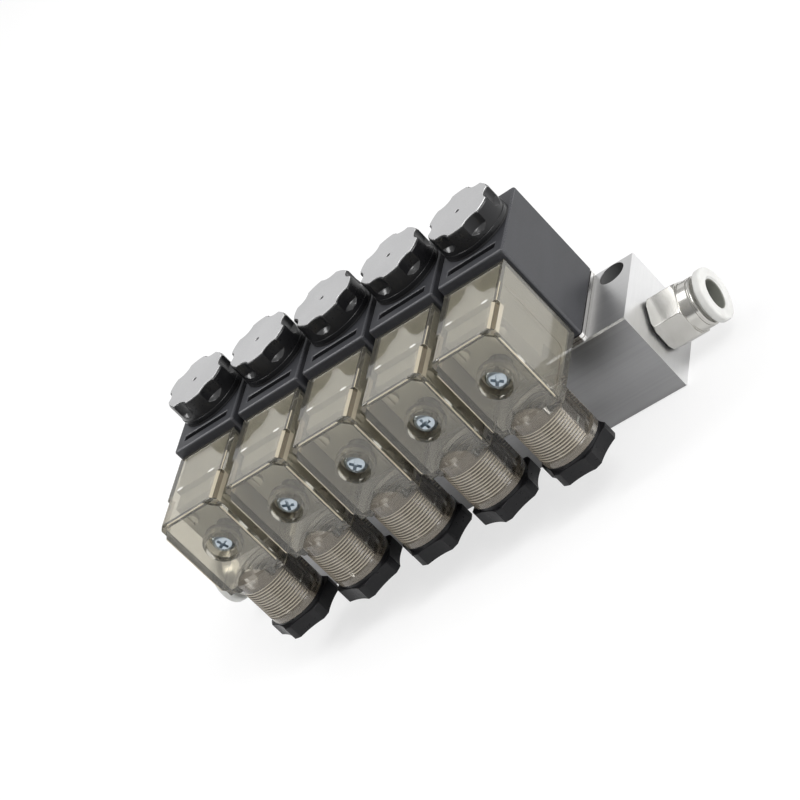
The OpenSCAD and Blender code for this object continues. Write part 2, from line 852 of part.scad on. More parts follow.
module connector_housing(n) {
    color([0.42, 0.40, 0.30, 0.6])
        at_station(n)
            difference() {
                union() {
                    difference() {
                        union() {
                            housing_shell();
                            gland_tube();
                        }
                        translate([-conn_w / 2 + conn_wall, panel_back + conn_wall, conn_z + conn_wall])
                            cube([conn_w - 2 * conn_wall, conn_d, conn_h - 2 * conn_wall]);
                    }
                    screw_boss();
                }
                along_screw(conn_front + recess_depth) cylinder(h = recess_depth + cut, d = recess_d);
                along_screw(rim_y + cut) cylinder(h = conn_d, d = boss_bore_d);
                translate([0, gland_y, gland_z - cut])
                    cylinder(h = seal_top - gland_z + cut, d = gland_bore_d);
                translate([0, gland_y, gland_z]) cylinder(h = gland_l + conn_wall + cut, d = throat_d);
            }
}

// Contact blocks, blades, terminals, gaskets and connector screws

module blade(gap, l) {
    for (x = [-1, 1])
        translate([x * line_set - blade_t / 2 - gap, -coil_front - l, screw_z - blade_w / 2 - gap])
            cube([blade_t + 2 * gap, l, blade_w + 2 * gap]);
    translate([-blade_w / 2 - gap, -coil_front - l, screw_z - earth_set - blade_t / 2 - gap])
        cube([blade_w + 2 * gap, l, blade_t + 2 * gap]);
}

module contact_blades() {
    color("goldenrod") at_each_station() blade(0, blade_l);
}

// The line terminals are on the tower's front, and the earth terminal is on the block's front below it
module at_terminals() {
    for (p = [[-line_set, tower_d, terminal_rise], [line_set, tower_d, terminal_rise], [0, 0, -earth_set]])
        translate([p[0], -p[1], p[2]]) along_screw(block_front) children();
}

module contact_blocks() {
    w = conn_w - 2 * conn_wall - 2 * block_gap;
    h = conn_h - 2 * conn_wall - 2 * block_gap;
    color([0.25, 0.25, 0.22])
        at_each_station()
            difference() {
                union() {
                    translate([-w / 2, block_front, screw_z - h / 2]) cube([w, block_d, h]);
                    translate([-w / 2, block_front - tower_d, screw_z - tower_set])
                        cube([w, tower_d + cut, tower_set + h / 2 - tower_drop]);
                }
                along_screw(0) cylinder(h = coil_front + conn_d, d = boss_d + 2 * block_gap);
                blade(blade_gap, blade_l + 2 * blade_gap);
                at_terminals()
                    translate([0, 0, -terminal_l - fit_gap])
                        cylinder(h = terminal_l + cut, d = terminal_d + 2 * fit_gap);
            }
}

module terminal_screws() {
    color("silver")
        at_each_station()
            at_terminals()
                difference() {
                    union() {
                        mirror([0, 0, 1]) cylinder(h = terminal_l, d = terminal_d);
                        cylinder(h = terminal_head_h, d = terminal_head_d);
                    }
                    translate([
                        -terminal_slot_w / 2, -terminal_head_d / 2 - cut, terminal_head_h - terminal_slot_depth
                    ])
                        cube([terminal_slot_w, terminal_head_d + 2 * cut, terminal_slot_depth + cut]);
                }
}

module gaskets() {
    w = conn_w - 2 * gasket_in;
    h = conn_h - 2 * gasket_in;
    lip = gasket_t / 3;
    color([0.05, 0.05, 0.05])
        at_each_station()
            along_screw(-coil_front)
                difference() {
                    linear_extrude(height = gasket_t) square([w, h], center = true);
                    translate([0, 0, -cut])
                        linear_extrude(height = gasket_t + 2 * cut)
                            square([w - 2 * gasket_band, h - 2 * gasket_band], center = true);
                    translate([0, 0, lip])
                        linear_extrude(height = lip)
                            difference() {
                                square([w + cut, h + cut], center = true);
                                square([w - 2 * lip_depth, h - 2 * lip_depth], center = true);
                            }
                }
}

module connector_screws() {
    seat = conn_front + recess_depth;
    color("lightsteelblue")
        for (n = [1 : stations])
            at_station(n)
                along_screw(seat)
                    difference() {
                        union() {
                            rotate_extrude() pan_head_profile();
                            mirror([0, 0, 1]) cylinder(h = -coil_front + screw_in - seat, d = screw_d);
                        }
                        translate([0, 0, screw_head_h - cross_depth]) cross_recess(screw_turns[n - 1]);
                    }
}

// Pan head: a straight skirt and a crown whose edge is rounded
module pan_head_profile() {
    r = screw_head_d / 2;
    flat_r = crown_flat_d / 2;
    crown = [
        for (a = [0 : round_step : 90])
            [flat_r + (r - flat_r) * cos(a), skirt_h + (screw_head_h - skirt_h) * sin(a)]
    ];
    polygon(concat([[0, 0], [r, 0]], crown, [[0, screw_head_h]]));
}

module cross_recess(turn) {
    for (a = [turn, turn + 90])
        rotate([0, 0, a])
            translate([-cross_span / 2, -cross_w / 2, 0]) cube([cross_span, cross_w, cross_depth + cut]);
    cylinder(h = cross_depth + cut, d1 = cross_w, d2 = cross_hub_d);
}

// Gland seals, washers and nuts

module gland_seals() {
    color([0.10, 0.10, 0.10])
        at_each_station()
            translate([0, gland_y, gland_seal_z])
                difference() {
                    cylinder(h = seal_top - gland_seal_z, d = gland_bore_d - slide_gap);
                    translate([0, 0, -cut])
                        cylinder(h = seal_top - gland_seal_z + 2 * cut, d = gland_seal_hole_d);
                }
}

module gland_washers() {
    color("silver")
        at_each_station()
            translate([0, gland_y, gland_washer_z])
                difference() {
                    cylinder(h = gland_washer_t, d = gland_bore_d - slide_gap);
                    translate([0, 0, -cut]) cylinder(h = gland_washer_t + 2 * cut, d = cable_d);
                }
}

module nut_head() {
    difference() {
        cylinder(h = nut_h, d = nut_d);
        for (k = [0 : 5])
            rotate([0, 0, 60 * k + 30])
                translate([nut_across / 2 + nut_side_r, 0, -cut])
                    cylinder(h = nut_h + 2 * cut, r = nut_side_r);
    }
}

module gland_nut(n) {
    head_z = nut_top - nut_collar_h - nut_h;
    color([0.12, 0.12, 0.13])
        at_station(n)
            translate([0, gland_y, head_z])
                rotate([0, 0, nut_turns[n - 1]])
                    difference() {
                        union() {
                            nut_head();
                            translate([0, 0, nut_h]) cylinder(h = nut_collar_h, d = nut_collar_d);
                            translate([0, 0, nut_h])
                                cylinder(h = nut_collar_h + nut_shank_l, d = gland_bore_d - slide_gap);
                        }
                        translate([0, 0, -cut])
                            cylinder(h = nut_h + nut_collar_h + nut_shank_l + 2 * cut, d = cable_d);
                    }
}

// Push-in fittings, drawn along Z with the middle of the bar at zero

module fitting_body(side) {
    color([0.80, 0.78, 0.72])
        along_gallery(side)
            difference() {
                union() {
                    translate([0, 0, hex_x]) rotate([0, 0, hex_turn + 90]) chamfered_hexagon();
                    rotate_extrude() collar_profile();
                    translate([0, 0, hex_x - seal_t - shank_l])
                        cylinder(h = shank_l + seal_t, d = end_port_d - 2 * shank_clear);
                }
                translate([0, 0, fitting_end - sleeve_bore_l])
                    cylinder(h = sleeve_bore_l + cut, d = sleeve_bore_d);
                translate([0, 0, fitting_end - socket_depth])
                    cylinder(h = socket_depth, d = hose_d + 2 * hose_clear);
                translate([0, 0, bar_half - shank_l - cut])
                    cylinder(h = fitting_end - bar_half + shank_l, d = shank_bore_d);
            }
}

module chamfered_hexagon() {
    across = hex_af / cos(30);
    intersection() {
        cylinder(h = hex_l, d = across, $fn = 6);
        rotate_extrude() polygon([
            [0, 0], [across / 2 - hex_chamfer, 0], [across / 2, hex_chamfer],
            [across / 2, hex_l - hex_chamfer], [across / 2 - hex_chamfer, hex_l], [0, hex_l]
        ]);
    }
}

module collar_profile() {
    r = collar_d / 2;
    groove = fitting_end - groove_set - groove_w;
    polygon([
        [0, collar_x - hex_chamfer], [r, collar_x - hex_chamfer], [r, groove], [r - groove_depth, groove],
        [r - groove_depth, groove + groove_w], [r, groove + groove_w],
        [r, fitting_end - groove_depth], [r - groove_depth, fitting_end], [0, fitting_end]
    ]);
}

module release_ring(side) {
    hole_r = hose_d / 2 + 2 * hose_clear;
    r = ring_d / 2;
    e = ring_edge;
    color([0.86, 0.86, 0.84])
        along_gallery(side)
            translate([0, 0, ring_x])
                difference() {
                    rotate_extrude() polygon(concat(
                        [[0, -sleeve_l], [sleeve_bore_d / 2 - sleeve_clear, -sleeve_l],
                         [sleeve_bore_d / 2 - sleeve_clear, 0], [r - e, 0]],
                        [for (a = [-90 : round_step : 0]) [r - e + e * cos(a), e + e * sin(a)]],
                        [for (a = [0 : round_step : 90]) [r - e + e * cos(a), ring_t - e + e * sin(a)]],
                        [[0, ring_t]]
                    ));
                    translate([0, 0, -sleeve_l - cut]) cylinder(h = sleeve_l + ring_t + 2 * cut, r = hole_r);
                    translate([0, 0, ring_t - e]) cylinder(h = 2 * e, r1 = hole_r, r2 = hole_r + 2 * e);
                }
}

module fitting_seals() {
    color([0.06, 0.06, 0.06])
        for (side = [-1, 1])
            along_gallery(side)
                translate([0, 0, bar_half])
                    difference() {
                        cylinder(h = seal_t, d = seal_d);
                        translate([0, 0, -cut]) cylinder(h = seal_t + 2 * cut, d = end_port_d);
                    }
}

module socket_seals() {
    section = sleeve_bore_d / 2 - hose_d / 2 - hose_clear - 2 * fit_gap;
    color([0.06, 0.06, 0.06])
        for (side = [-1, 1])
            along_gallery(side)
                translate([0, 0, fitting_end - sleeve_bore_l + section / 2])
                    rotate_extrude()
                        translate([sleeve_bore_d / 2 - fit_gap - section / 2, 0])
                            circle(d = section, $fn = 32);
}

manifold_block();
fitting_body(1);  // fitting_body_right
fitting_body(-1);  // fitting_body_left
release_ring(1);  // release_ring_right
release_ring(-1);  // release_ring_left
fitting_seals();
socket_seals();
base_plates();
plate_screws();
armature_tubes();
fixed_cores();
tube_orings();
knob_washers();
gaskets();
contact_blocks();
contact_blades();
terminal_screws();
connector_screws();
gland_seals();
gland_washers();
for (n = [1 : stations]) {
    coil(n);
    knob(n);
    knob_label(n);
    plunger(n);
    plunger_spring(n);
    gland_nut(n);
    connector_housing(n);
}
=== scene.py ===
import json
import math

import bpy
from mathutils import Matrix, Vector


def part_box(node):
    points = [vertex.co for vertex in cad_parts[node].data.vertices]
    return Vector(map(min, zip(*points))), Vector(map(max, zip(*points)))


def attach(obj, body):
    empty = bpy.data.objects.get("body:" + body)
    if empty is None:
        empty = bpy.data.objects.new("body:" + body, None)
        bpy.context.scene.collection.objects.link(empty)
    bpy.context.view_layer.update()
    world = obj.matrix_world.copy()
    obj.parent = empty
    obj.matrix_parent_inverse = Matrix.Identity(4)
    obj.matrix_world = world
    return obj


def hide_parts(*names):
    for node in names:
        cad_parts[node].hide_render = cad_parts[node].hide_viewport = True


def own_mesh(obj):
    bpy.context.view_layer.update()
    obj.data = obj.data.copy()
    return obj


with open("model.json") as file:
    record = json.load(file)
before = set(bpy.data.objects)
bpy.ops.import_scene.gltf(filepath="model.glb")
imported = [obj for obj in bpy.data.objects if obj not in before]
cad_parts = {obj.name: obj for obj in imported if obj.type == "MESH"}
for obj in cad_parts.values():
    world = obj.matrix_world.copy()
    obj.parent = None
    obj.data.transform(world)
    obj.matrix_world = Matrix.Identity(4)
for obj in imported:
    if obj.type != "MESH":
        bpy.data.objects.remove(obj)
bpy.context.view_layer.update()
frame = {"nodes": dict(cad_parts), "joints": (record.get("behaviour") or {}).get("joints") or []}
nodes = frame["nodes"]
STATIONS = (1, 2, 3, 4, 5)


# Manifold bar: drawn aluminium bar, sawn to length and milled on its ends, drilled and counterbored from above
# and from the back, then bead blasted and clear anodised. Its long edges are broken by a small chamfer.


class Field:
    """A number that varies over a surface. Arithmetic on it adds Math nodes to its finish."""

    def __init__(self, finish, socket):
        self.finish = finish
        self.socket = socket

    def math(self, operation, *others):
        settings = {"operation": operation}
        return self.finish.add("Math", settings, dict(enumerate((self, *others))))

    def __add__(self, other):
        return self.math("ADD", other)

    __radd__ = __add__

    def __sub__(self, other):
        return self.math("SUBTRACT", other)

    def __rsub__(self, other):
        return self.math("MULTIPLY_ADD", -1.0, other)

    def __mul__(self, other):
        return self.math("MULTIPLY", other)

    __rmul__ = __mul__

    def __gt__(self, other):
        return self.math("GREATER_THAN", other)

    def __lt__(self, other):
        return self.math("LESS_THAN", other)

    def __abs__(self):
        return self.math("ABSOLUTE")


class Finish:
    """The finish of one kind of surface: nodes around a Principled shader whose constants are set directly."""

    def __init__(self, name, **constants):
        self.material = bpy.data.materials.new(name)
        self.material.use_nodes = True
        self.tree = self.material.node_tree
        self.shader = self.tree.nodes["Principled BSDF"]
        self.paint(**constants)

    def add(self, kind, settings, values, output=0):
        """One more node: its settings first, then the values or links of its sockets."""
        node = self.tree.nodes.new("ShaderNode" + kind)
        for name, value in settings.items():
            setattr(node, name, value)
        for name, value in values.items():
            self.feed(node.inputs[name], value)
        return Field(self, node.outputs[output])

    def feed(self, socket, value):
        if isinstance(value, Field):
            self.tree.links.new(value.socket, socket)
        elif isinstance(value, tuple) and socket.type == "RGBA":
            socket.default_value = (*value[:3], 1.0)
        else:
            socket.default_value = value

    def stretched(self, x, y, z):
        """The place on the piece, multiplied along each axis."""
        place = self.add("TexCoord", {}, {}, "Object")
        return self.add("VectorMath", {"operation": "MULTIPLY"}, {0: place, 1: (x, y, z)})

    def noise(self, scale, detail=2.0, stretch=(1.0, 1.0, 1.0), roughness=0.5):
        values = {"Vector": self.stretched(*stretch), "Scale": scale, "Detail": detail, "Roughness": roughness}
        return self.add("TexNoise", {}, values)

    def ramp(self, value, low, high):
        """Zero below low, one above high, or the other way round."""
        return self.add("MapRange", {"clamp": True}, {"Value": value, "From Min": low, "From Max": high})

    def place(self, axis):
        return self.add("SeparateXYZ", {}, {0: self.stretched(1.0, 1.0, 1.0)}, axis)

    def away(self, x, y):
        """Distance from an upright line through x and y, where x may be a field."""
        return (x * x + (self.place(1) - y).math("POWER", 2.0)).math("SQRT")

    def tint(self, amount, first, second):
        """A colour that goes from first to second as amount goes from 0 to 1."""
        return self.add("Mix", {"data_type": "RGBA"}, {0: amount, 6: first, 7: second}, 2)

    def facing(self, axis):
        """How far the surface faces along one axis of the part."""
        normal = self.add("TexCoord", {}, {}, "Normal")
        return self.add("SeparateXYZ", {}, {0: normal}, axis)

    def paint(self, **values):
        for socket, value in values.items():
            self.feed(self.shader.inputs[socket.replace("_", " ")], value)

    def blend_in(self, share, **values):
        """Covers a share of the Principled shader with a second one that has the same normal."""
        values = {socket.replace("_", " "): value for socket, value in values.items()}
        for link in self.shader.inputs["Normal"].links:
            values["Normal"] = Field(self, link.from_socket)
        cover = self.add("BsdfPrincipled", {}, values)
        both = self.add("MixShader", {}, {0: share, 1: Field(self, self.shader.outputs[0]), 2: cover})
        self.feed(self.tree.nodes["Material Output"].inputs["Surface"], both)

    def emboss(self, height, depth, strength=1.0):
        bump = self.add("Bump", {}, {"Height": height, "Distance": depth, "Strength": strength})
        self.feed(self.shader.inputs["Normal"], bump)


def dress(names, finish, edge=0.0, steps=2, sharp=35.0, hold=True):
    """Gives CAD nodes a finish and a small round on their sharp edges, held within the shortest edge or not."""
    for name in names:
        body = nodes[name]
        body.data.materials.clear()
        body.data.materials.append(finish.material)
        weld = body.modifiers.new("weld", "WELD")
        weld.merge_threshold = 1e-6
        if edge:
            bevel = body.modifiers.new("edge", "BEVEL")
            bevel.width = edge
            bevel.segments = steps
            bevel.limit_method = "ANGLE"
            bevel.angle_limit = math.radians(sharp)
            bevel.use_clamp_overlap = hold
            flat = body.modifiers.new("flat", "WEIGHTED_NORMAL")
            flat.keep_sharp = True


anodised = Finish("anodised_bar")
drawn_lines = anodised.noise(1.0, 3.0, stretch=(9.0, 1600.0, 1600.0))
milled_lines = anodised.noise(1.0, 2.0, stretch=(400.0, 60.0, 2600.0))
blasted = anodised.noise(5200.0, 2.0)
cloud = anodised.noise(38.0, 3.0)
squarely = 0.7
on_end = abs(anodised.facing(0)) > squarely
on_top = anodised.facing(2) > squarely
lines = drawn_lines * (1.0 - on_end) + milled_lines * on_end
shade = anodised.ramp(cloud * 0.6 + lines * 0.4, 0.3, 0.7)
# Painted light and shade: front, back and bottom painted darker, the top lighter, the milled ends lighter still.
skin = anodised.tint(shade, (0.28, 0.28, 0.285), (0.36, 0.36, 0.365))
milled = anodised.tint(shade, (0.72, 0.72, 0.72), (0.80, 0.80, 0.80))
lit_top = anodised.tint(shade, (0.62, 0.62, 0.62), (0.70, 0.70, 0.70))
outside = anodised.tint(on_top, anodised.tint(on_end, skin, milled), lit_top)
# Painted shade: inside the bolt holes the surface is painted dark and not metallic.
bolt_x, bolt_y, bolt_r, rim_z = 0.0644, 0.0084, 0.00405, 0.0266
from_bolt = anodised.away(abs(anodised.place(0)) - bolt_x, bolt_y)
in_bolt_hole = (from_bolt < bolt_r) * (anodised.place(2) < rim_z)
anodised.paint(
    Base_Color=anodised.tint(in_bolt_hole, outside, (0.13, 0.13, 0.13)),
    Metallic=1.0 - in_bolt_hole,
    Roughness=0.30 + 0.10 * lines + 0.08 * blasted,
)
anodised.emboss(blasted * 0.7 + lines * 0.5, 0.000012)
dress(["manifold_block"], anodised, edge=0.00012)


# Push-in fittings: nickel plated brass bodies, turned from hexagon bar, with a polished hexagon and a turned
# collar. They screw into the bar's ends on a black sealing ring.

nickel = Finish("nickel_plate", Metallic=1.0)
turned = nickel.noise(1.0, 2.0, stretch=(9000.0, 90.0, 90.0))
smear = nickel.noise(160.0, 3.0)
nickel.paint(
    Base_Color=nickel.tint(nickel.ramp(smear, 0.35, 0.7), (0.54, 0.53, 0.50), (0.62, 0.61, 0.58)),
    Roughness=0.15 + 0.07 * smear + 0.05 * turned,
)
nickel.emboss(turned * 0.6 + smear * 0.4, 0.000006)
dress(["fitting_body_right", "fitting_body_left"], nickel, edge=0.00015, sharp=28.0)

black_rubber = Finish("black_rubber", Specular_IOR_Level=0.35)
rubber_grain = black_rubber.noise(2600.0, 3.0)
black_rubber.paint(
    Base_Color=black_rubber.tint(rubber_grain, (0.012, 0.012, 0.012), (0.026, 0.026, 0.027)),
    Roughness=0.55 + 0.15 * rubber_grain,
)
black_rubber.emboss(rubber_grain, 0.00001)
rubber_parts = ["fitting_seals", "socket_seals", "tube_orings", "knob_washers", "gaskets", "gland_seals"]
dress(rubber_parts, black_rubber, edge=0.00008)


# Release rings: light grey acetal rings that slide in the fittings' collars and free the tube when pressed.
# They are moulded, a little waxy, and let some light in.

acetal = Finish(
    "grey_acetal", Subsurface_Weight=0.25, Subsurface_Scale=0.002, Subsurface_Radius=(1.0, 0.95, 0.9)
)
flow = acetal.noise(420.0, 3.0)
ring_low, ring_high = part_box("release_ring_right")
# Painted shade: the ring's bore is painted dark.
bore_r = 0.0044
across_y = acetal.place(1) - (ring_low.y + ring_high.y) / 2
across_z = acetal.place(2) - (ring_low.z + ring_high.z) / 2
in_bore = (across_y * across_y + across_z * across_z) < bore_r * bore_r
ring_shade = acetal.tint(acetal.ramp(flow, 0.3, 0.7), (0.62, 0.62, 0.60), (0.69, 0.69, 0.67))
acetal.paint(
    Base_Color=acetal.tint(in_bore, ring_shade, (0.20, 0.205, 0.18)),
    Roughness=0.32 + 0.14 * flow,
)
acetal.emboss(flow, 0.00001)
dress(["release_ring_right", "release_ring_left"], acetal, edge=0.0001)


# Base plates and small screws: zinc plated steel, pressed from strip, with a bright cut edge that shows two
# layers. The screws are cross-headed and have the bluish cast of fresh zinc.

zinc_plate = Finish("zinc_plate", Metallic=1.0)
rolled = zinc_plate.noise(1.0, 2.0, stretch=(1500.0, 25.0, 1500.0))
plate_low, plate_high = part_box("base_plates")
plate_mid = (plate_low.z + plate_high.z) / 2
joint_half = 0.00012
joint_line = abs(zinc_plate.place(2) - plate_mid) < joint_half
zinc_plate.paint(
    Base_Color=zinc_plate.tint(joint_line * 0.8, (0.80, 0.79, 0.77), (0.10, 0.08, 0.06)),
    Roughness=0.20 + 0.10 * rolled,
)
zinc_plate.emboss(rolled, 0.000008)
dress(["base_plates"], zinc_plate, edge=0.00015)

blue_zinc = Finish("blue_zinc", Metallic=1.0)
bloom = blue_zinc.noise(900.0, 3.0)
blue_zinc.paint(
    Base_Color=blue_zinc.tint(bloom, (0.34, 0.39, 0.43), (0.50, 0.55, 0.59)),
    Roughness=0.16 + 0.12 * bloom,
)
blue_zinc.emboss(bloom, 0.00001)
dress(["plate_screws", "connector_screws", "gland_washers"], blue_zinc, edge=0.00008)


# Armatures: stainless tubes, cores and plungers, turned and ground. They stand on the valves' axes inside the
# coils and carry the knobs' studs. Each fine return spring hangs from its core.

stainless = Finish("ground_stainless", Metallic=1.0)
ground = stainless.noise(1.0, 2.0, stretch=(200.0, 200.0, 7000.0))
stainless.paint(
    Base_Color=stainless.tint(ground, (0.50, 0.49, 0.47), (0.60, 0.59, 0.57)),
    Roughness=0.22 + 0.12 * ground,
)
stainless.emboss(ground, 0.000006)
dress(["armature_tubes", "fixed_cores", *(f"plunger_{n}" for n in STATIONS)], stainless, edge=0.0001)

spring_wire = Finish("spring_wire", Metallic=1.0)
drawn = spring_wire.noise(1500.0, 2.0)
spring_wire.paint(
    Base_Color=spring_wire.tint(drawn, (0.38, 0.37, 0.36), (0.48, 0.47, 0.46)),
    Roughness=0.25 + 0.1 * drawn,
)
dress([f"plunger_spring_{n}" for n in STATIONS], spring_wire)

lifting = [joint for joint in frame["joints"] if joint["name"].endswith("_lift")]
lifts = {joint["name"]: joint["range_m"][1] for joint in lifting}
for n in STATIONS:
    coiled = nodes[f"plunger_spring_{n}"]
    foot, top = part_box(f"plunger_spring_{n}")
    spring = bpy.data.objects.new(f"return_spring_{n}", coiled.data.copy())
    bpy.context.scene.collection.objects.link(spring)
    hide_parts(f"plunger_spring_{n}")
    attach(spring, "valve_bank")
    pressed = 1.0 - lifts[f"plunger_{n}_lift"] / (top.z - foot.z)
    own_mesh(spring)


# Coils: windings moulded into charcoal, glass-filled plastic. The mould is spark eroded, so the faces have an
# even fine grain; the rounded edges are smoother and painted lighter as a highlight, and the sunk slot on top is
# painted darker as shade.

first_low, first_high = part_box("coil_1")
half_pitch = (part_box("coil_2")[0].x - first_low.x) / 2

coil_plastic = Finish("coil_plastic", Specular_IOR_Level=0.5)
eroded = coil_plastic.noise(3400.0, 3.0, roughness=0.6)
glass_flow = coil_plastic.noise(90.0, 4.0, stretch=(1.0, 1.0, 2.5))
# Painted shade: the sunk slot is painted near black.
slot_y = first_low.y + 0.00445
slot_half_l, slot_half_w, slot_rim = 0.0081, 0.0013, 0.0002
along_slot = abs(coil_plastic.place(0).math("WRAP", half_pitch, -half_pitch)) < slot_half_l
across_slot = abs(coil_plastic.place(1) - slot_y) < slot_half_w
in_slot = along_slot * across_slot * (coil_plastic.place(2) < first_high.z - slot_rim)
steepest = abs(coil_plastic.facing(0)).math("MAXIMUM", abs(coil_plastic.facing(1)))
steepest = steepest.math("MAXIMUM", abs(coil_plastic.facing(2)))
still_flat = 0.985
on_round = (steepest < still_flat) * (1.0 - in_slot)
coil_shade = coil_plastic.ramp(glass_flow, 0.3, 0.75)
coil_skin = coil_plastic.tint(coil_shade, (0.027, 0.028, 0.032), (0.038, 0.039, 0.045))
# Painted highlight: the rounded edges are painted lighter.
coil_skin = coil_plastic.tint(on_round, coil_skin, (0.055, 0.056, 0.062))
coil_plastic.paint(
    Base_Color=coil_plastic.tint(in_slot, coil_skin, (0.008, 0.008, 0.010)),
    Roughness=0.40 + 0.16 * eroded + 0.06 * glass_flow - 0.22 * on_round,
)
coil_plastic.emboss(eroded, 0.00003, 0.6)
dress([f"coil_{n}" for n in STATIONS], coil_plastic, edge=0.00035, steps=3, hold=False)


# Retaining knobs: black nylon nuts with six flutes, moulded with a satin skin. A silver-grey film plate with
# the same outline is glued on top, around the vent.

knob_nylon = Finish("knob_nylon", Specular_IOR_Level=0.3)
satin = knob_nylon.noise(1500.0, 3.0)
handled = knob_nylon.noise(120.0, 3.0)
steep, level = 0.3, 0.95
sloped = (knob_nylon.facing(2) > steep) * (knob_nylon.facing(2) < level)
knob_nylon.paint(
    Base_Color=knob_nylon.tint(handled, (0.008, 0.008, 0.009), (0.014, 0.014, 0.015)),
    Roughness=0.20 + 0.10 * satin + 0.08 * handled,
    Coat_Weight=sloped,
    Coat_Roughness=0.18,
)
knob_nylon.emboss(satin, 0.00001)
dress([f"knob_{n}" for n in STATIONS], knob_nylon, edge=0.00025, steps=3)

silver_film = Finish("silver_film", Metallic=0.5)
flake = silver_film.noise(2600.0, 3.0)
print_cloud = silver_film.noise(60.0, 3.0)
film_shade = silver_film.ramp(flake * 0.5 + print_cloud * 0.5, 0.35, 0.65)
# Painted highlight: the film's edge is painted near white.
film_rim = silver_film.facing(2) < 0.5
film = silver_film.tint(film_shade, (0.44, 0.44, 0.445), (0.52, 0.52, 0.525))
silver_film.paint(
    Base_Color=silver_film.tint(film_rim, film, (0.92, 0.92, 0.92)),
    Roughness=0.34 + 0.12 * flake,
)
silver_film.emboss(flake, 0.000006)
dress([f"knob_label_{n}" for n in STATIONS], silver_film, edge=0.00008, hold=False)


# Contact blocks: glass-filled nylon inserts that hold the sockets for the coil's three blades and the wires'
# clamp screws. They sit inside the back half of the connector housings.

block_nylon = Finish("block_nylon", Specular_IOR_Level=0.4)
fibre = block_nylon.noise(800.0, 3.0)
block_nylon.paint(
    Base_Color=block_nylon.tint(fibre, (0.40, 0.39, 0.33), (0.46, 0.45, 0.39)),
    Roughness=0.5 + 0.15 * fibre,
)
block_nylon.emboss(fibre, 0.00001)
dress(["contact_blocks"], block_nylon, edge=0.0002)

tinned_brass = Finish("tinned_brass", Metallic=1.0)
tarnish = tinned_brass.noise(500.0, 3.0)
tinned_brass.paint(
    Base_Color=tinned_brass.tint(tarnish, (0.40, 0.39, 0.35), (0.52, 0.50, 0.45)),
    Roughness=0.22 + 0.15 * tarnish,
)
dress(["contact_blades", "terminal_screws"], tinned_brass, edge=0.00008)


# Connector housings: clear smoky polycarbonate caps with the cable gland's ridged tube moulded on. The mould is
# polished, with a little flow waviness. Painted highlights lie on the front edges, on and beside the facets next
# to the front panel, on the gland's crests and as two small glints on top; painted shade darkens the gland, the
# facets' lower part and a fine line along the step on each side, and a painted sheen lies on the side walls.

smoky = Finish("smoky_polycarbonate", Transmission_Weight=1.0, IOR=1.585)
waviness = smoky.noise(110.0, 2.0)
haze = smoky.noise(300.0, 3.0)
smoky.paint(
    Base_Color=smoky.tint(waviness, (0.90, 0.87, 0.78), (0.94, 0.91, 0.83)),
    Roughness=0.02 + 0.05 * haze,
)
smoky.emboss(waviness, 0.00003, 0.3)

nut_low, nut_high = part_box("gland_nut_1")
gland_y = (nut_low.y + nut_high.y) / 2
cap_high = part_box("connector_housing_3")[1]
front_y = gland_y - 0.0073
depth, height = smoky.place(1), smoky.place(2)
from_valve = smoky.place(0).math("WRAP", half_pitch, -half_pitch)
aside = abs(from_valve)
on_side = abs(smoky.facing(0)) > 0.9
on_roof = smoky.facing(2) > 0.9

# Painted shade: the gland tube and neck take a thicker cover painted darker brown.
tube_top, neck_foot, neck_gap = 0.0303, 0.0293, 0.0002
in_tube = height < tube_top
on_neck = (depth < front_y - neck_gap) * (height > neck_foot)
in_gland = in_tube.math("MAXIMUM", on_neck)
# Painted highlight: the ridges' crests are painted lighter.
ridges_mid, ridges_half, valley_r, crest_r = 0.02395, 0.00535, 0.00880, 0.00898
ridged = abs(height - ridges_mid) < ridges_half
crest = smoky.ramp(smoky.away(from_valve, gland_y), valley_r, crest_r) * ridged

# Painted highlights: the front edges, the facets' upper part and the wall strips beside the facets are painted
# light cream.
edge_w, facet_back_y = 0.0003, -0.0357
near_x = aside > cap_high.x - edge_w
near_z = height > cap_high.z - edge_w
near_y = abs(depth - (front_y + cap_high.y) / 2) > (cap_high.y - front_y) / 2 - edge_w
in_front = depth < facet_back_y
on_edge = (near_x * near_z).math("MAXIMUM", near_x * near_y).math("MAXIMUM", near_z * near_y)
on_edge = on_edge * in_front * (1.0 - in_tube)

facet_front_y, facet_x, roof_x, facet_rim, facet_glow_h = -0.0472, 0.0085, 0.0081, 0.0006, 0.0029
behind_panel = depth > facet_front_y
beside_panel = behind_panel * (aside > facet_x)
on_facet = (abs(smoky.facing(0)) > 0.5) * (smoky.facing(2) > 0.5) * beside_panel
upper_part = height > cap_high.z - facet_rim
below_facet = on_side * in_front * beside_panel * (height > cap_high.z - facet_glow_h)
above_facet = on_roof * in_front * behind_panel * (aside > roof_x)
facet_glow = (0.7 * below_facet).math("MAXIMUM", 0.45 * above_facet) * (1.0 - in_tube)
bright = (on_facet * upper_part).math("MAXIMUM", on_edge).math("MAXIMUM", facet_glow)
# Painted shade: the facets' lower part and a fine line along the step on each side are painted dark.
crease = on_facet * (1.0 - upper_part)

step_y, step_z, corner_r = -0.0280, 0.0346, 0.0025
past_back = (depth - (step_y - corner_r)).math("MAXIMUM", 0.0)
past_foot = (step_z + corner_r - height).math("MAXIMUM", 0.0)
off_step = (past_back * past_back + past_foot * past_foot).math("SQRT") - corner_r
line_half, line_x, line_front_y, line_top = 0.00022, 0.0097, -0.0460, 0.0533
on_step = (abs(off_step) < line_half) * (aside > line_x) * (depth > line_front_y)
on_step = on_step * (height < line_top) * (1.0 - in_tube)
dark_line = crease.math("MAXIMUM", on_step)

# Painted glints: two small spots on the roof are painted near white.
glints_x, glints_y, per_half_l, per_half_w = 0.0059, -0.0337, 900.0, 1900.0
glint_l = (aside - glints_x) * per_half_l
glint_w = (depth - glints_y) * per_half_w
on_glint = (glint_l * glint_l + glint_w * glint_w < 1.0) * on_roof * upper_part
